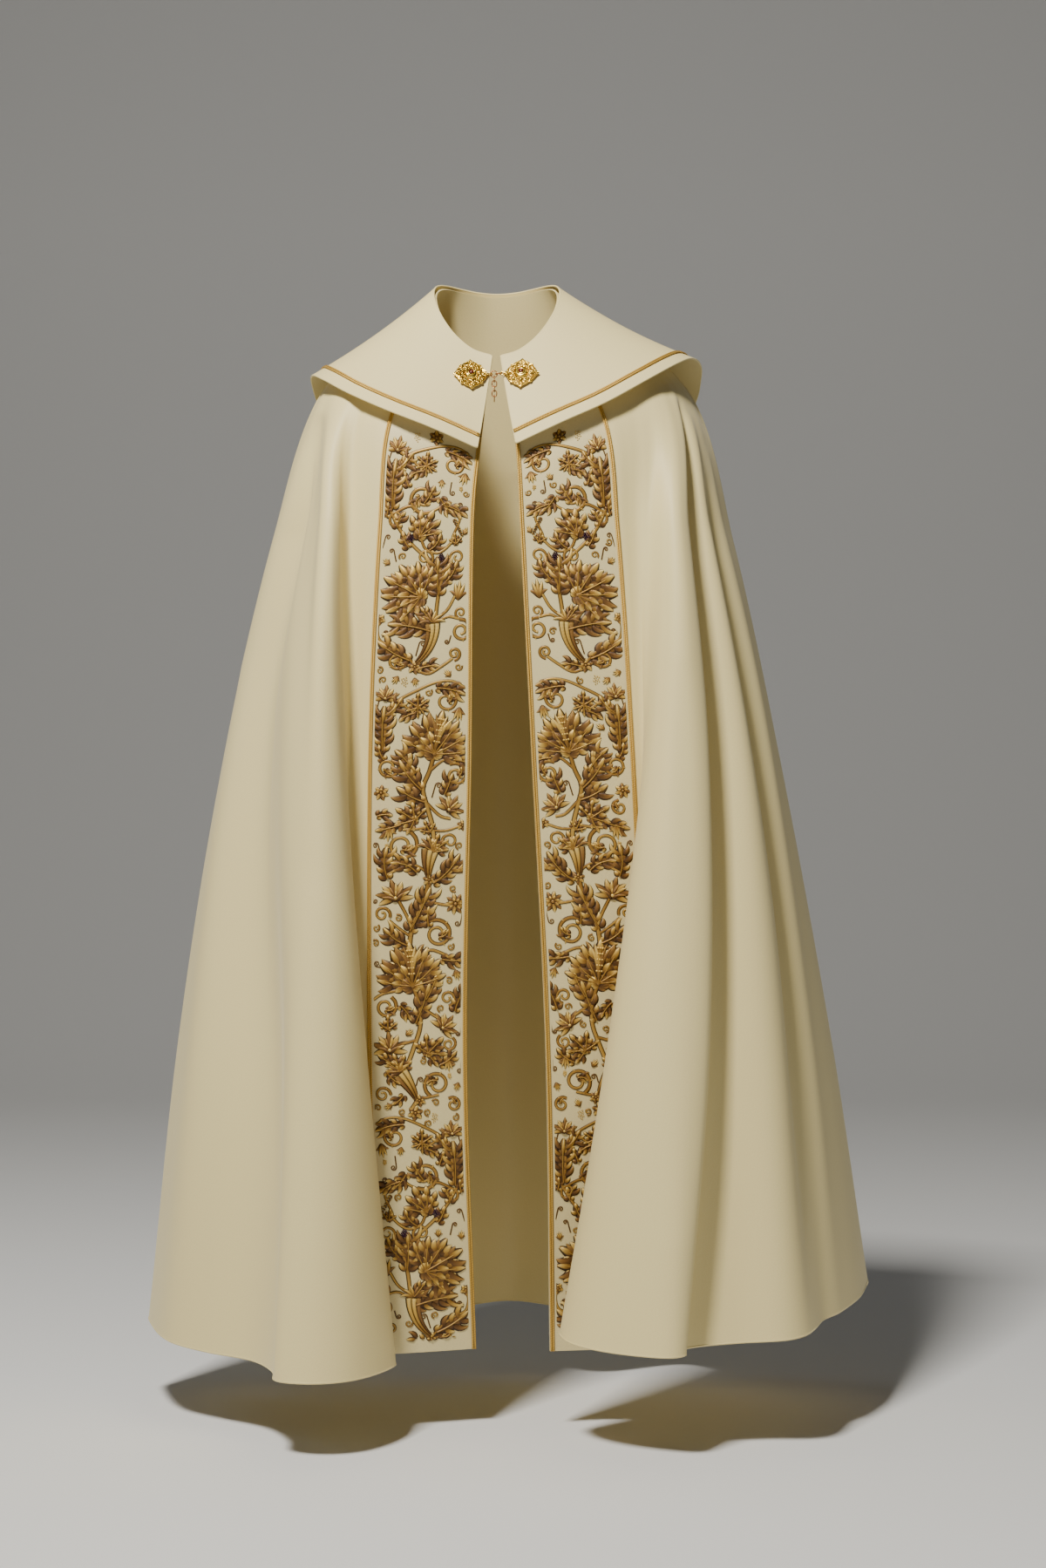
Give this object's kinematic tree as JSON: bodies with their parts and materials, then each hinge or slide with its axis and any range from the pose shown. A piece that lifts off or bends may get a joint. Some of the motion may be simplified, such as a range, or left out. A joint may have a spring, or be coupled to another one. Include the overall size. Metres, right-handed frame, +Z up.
{
  "type": "cope vestment",
  "caption": "Floor-length open cloak in cream cloth with gold-embroidered front bands, a wide braided shoulder collar and a rosette and chain clasp, in its worn shape.",
  "frame": {"origin": "middle of the neck opening, at the level of the collar's inner edge, where the wearer's neck and shoulders hold the garment", "axes": "+Z up, -Y the garment's front, +X the wearer's left"},
  "size_m": [1.0242, 0.5982, 1.4613],
  "materials": {
    "cope_cloth": "soft satin-faced wool, cream",
    "orphrey_satin": "ivory satin with raised gold embroidery",
    "gold_braid": "woven gold cord braid",
    "gilt_metal": "polished gilt, openwork",
    "chain_metal": "polished, rose-gold tone",
    "stone": "dark red-brown polished cabochon"
  },
  "bodies": {
    "cope": {"body": "cope_cloth", "orphrey_right": "orphrey_satin", "orphrey_left": "orphrey_satin", "braid_edge_right": "gold_braid", "braid_outer_right": "gold_braid", "braid_edge_left": "gold_braid", "braid_outer_left": "gold_braid", "collar": "cope_cloth", "collar_braid": "gold_braid", "rosette_right": "gilt_metal", "rosette_left": "gilt_metal", "stone_right": "stone", "stone_left": "stone", "chain_ring": "chain_metal", "chain_link": "chain_metal"},
    "tail_link_1": {"tail_link_1": "chain_metal"},
    "tail_link_2": {"tail_link_2": "chain_metal"},
    "tail_link_3": {"tail_link_3": "chain_metal"},
    "tail_link_4": {"tail_link_4": "chain_metal"},
    "tail_link_5": {"tail_link_5": "chain_metal"}
  },
  "joints": [
    {"name": "tail_swing_1", "type": "hinge", "parent": "cope", "child": "tail_link_1", "pos_m": [-0.00257, -0.09376, -0.09532], "axis": [1, 0, 0], "range_deg": [-60, 10]},
    {"name": "tail_swing_2", "type": "hinge", "parent": "tail_link_1", "child": "tail_link_2", "pos_m": [-0.00257, -0.09376, -0.10182], "axis": [0, 1, 0], "range_deg": [-5, 5]},
    {"name": "tail_swing_3", "type": "hinge", "parent": "tail_link_2", "child": "tail_link_3", "pos_m": [-0.00257, -0.09376, -0.10832], "axis": [1, 0, 0], "range_deg": [-45, 20]},
    {"name": "tail_swing_4", "type": "hinge", "parent": "tail_link_3", "child": "tail_link_4", "pos_m": [-0.00257, -0.09376, -0.11482], "axis": [0, 1, 0], "range_deg": [-6, 6]},
    {"name": "tail_swing_5", "type": "hinge", "parent": "tail_link_4", "child": "tail_link_5", "pos_m": [-0.00257, -0.09376, -0.12132], "axis": [1, 0, 0], "range_deg": [-45, 20]}
  ]
}
